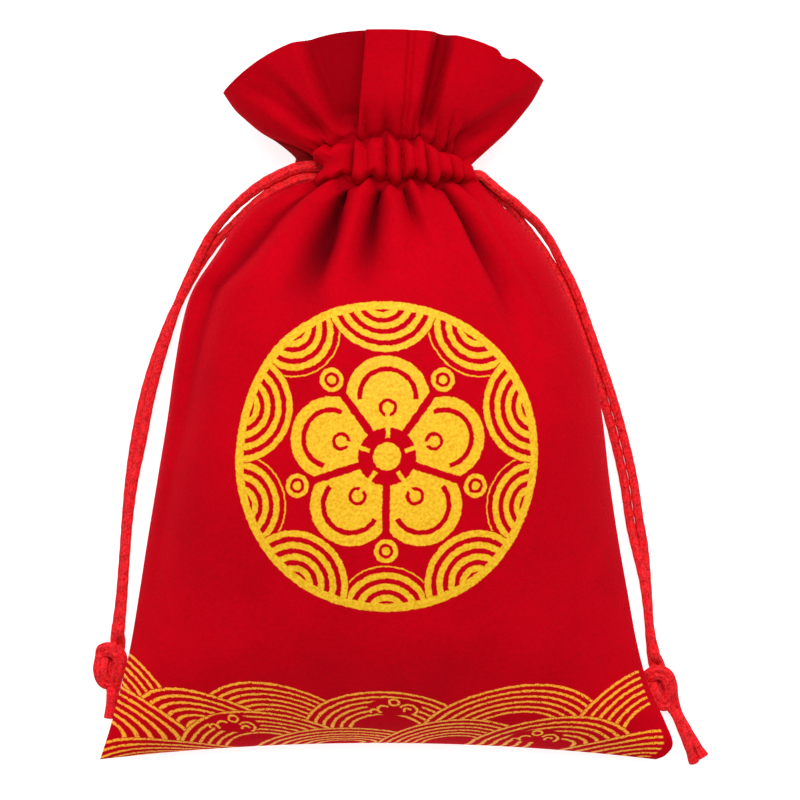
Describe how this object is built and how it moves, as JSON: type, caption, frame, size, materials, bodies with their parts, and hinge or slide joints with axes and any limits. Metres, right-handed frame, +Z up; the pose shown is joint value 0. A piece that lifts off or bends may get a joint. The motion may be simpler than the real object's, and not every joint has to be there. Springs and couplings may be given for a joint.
{
  "type": "drawstring pouch",
  "caption": "Soft velvet drawstring pouch lying on its back, with a gathered neck below a flared frill, a printed front and knotted satin cords that draw it shut from both sides.",
  "frame": {"origin": "middle of the pouch's bounding box, on the surface it lies on", "axes": "+Y from the bottom seam to the frill, +Z up out of the front panel, +X to the right of the print"},
  "size_m": [0.1239, 0.1459, 0.0431],
  "materials": {
    "velvet": "deep red velvet with a gold print",
    "satin_cord": "bright red braided satin"
  },
  "bodies": {
    "root": {"front_panel": "velvet", "back_panel": "velvet", "left_cord_loop": "satin_cord", "left_cord_a": "satin_cord", "left_cord_b": "satin_cord", "left_knot": "satin_cord", "right_cord_loop": "satin_cord", "right_cord_a": "satin_cord", "right_cord_b": "satin_cord", "right_knot": "satin_cord"}
  },
  "joints": []
}
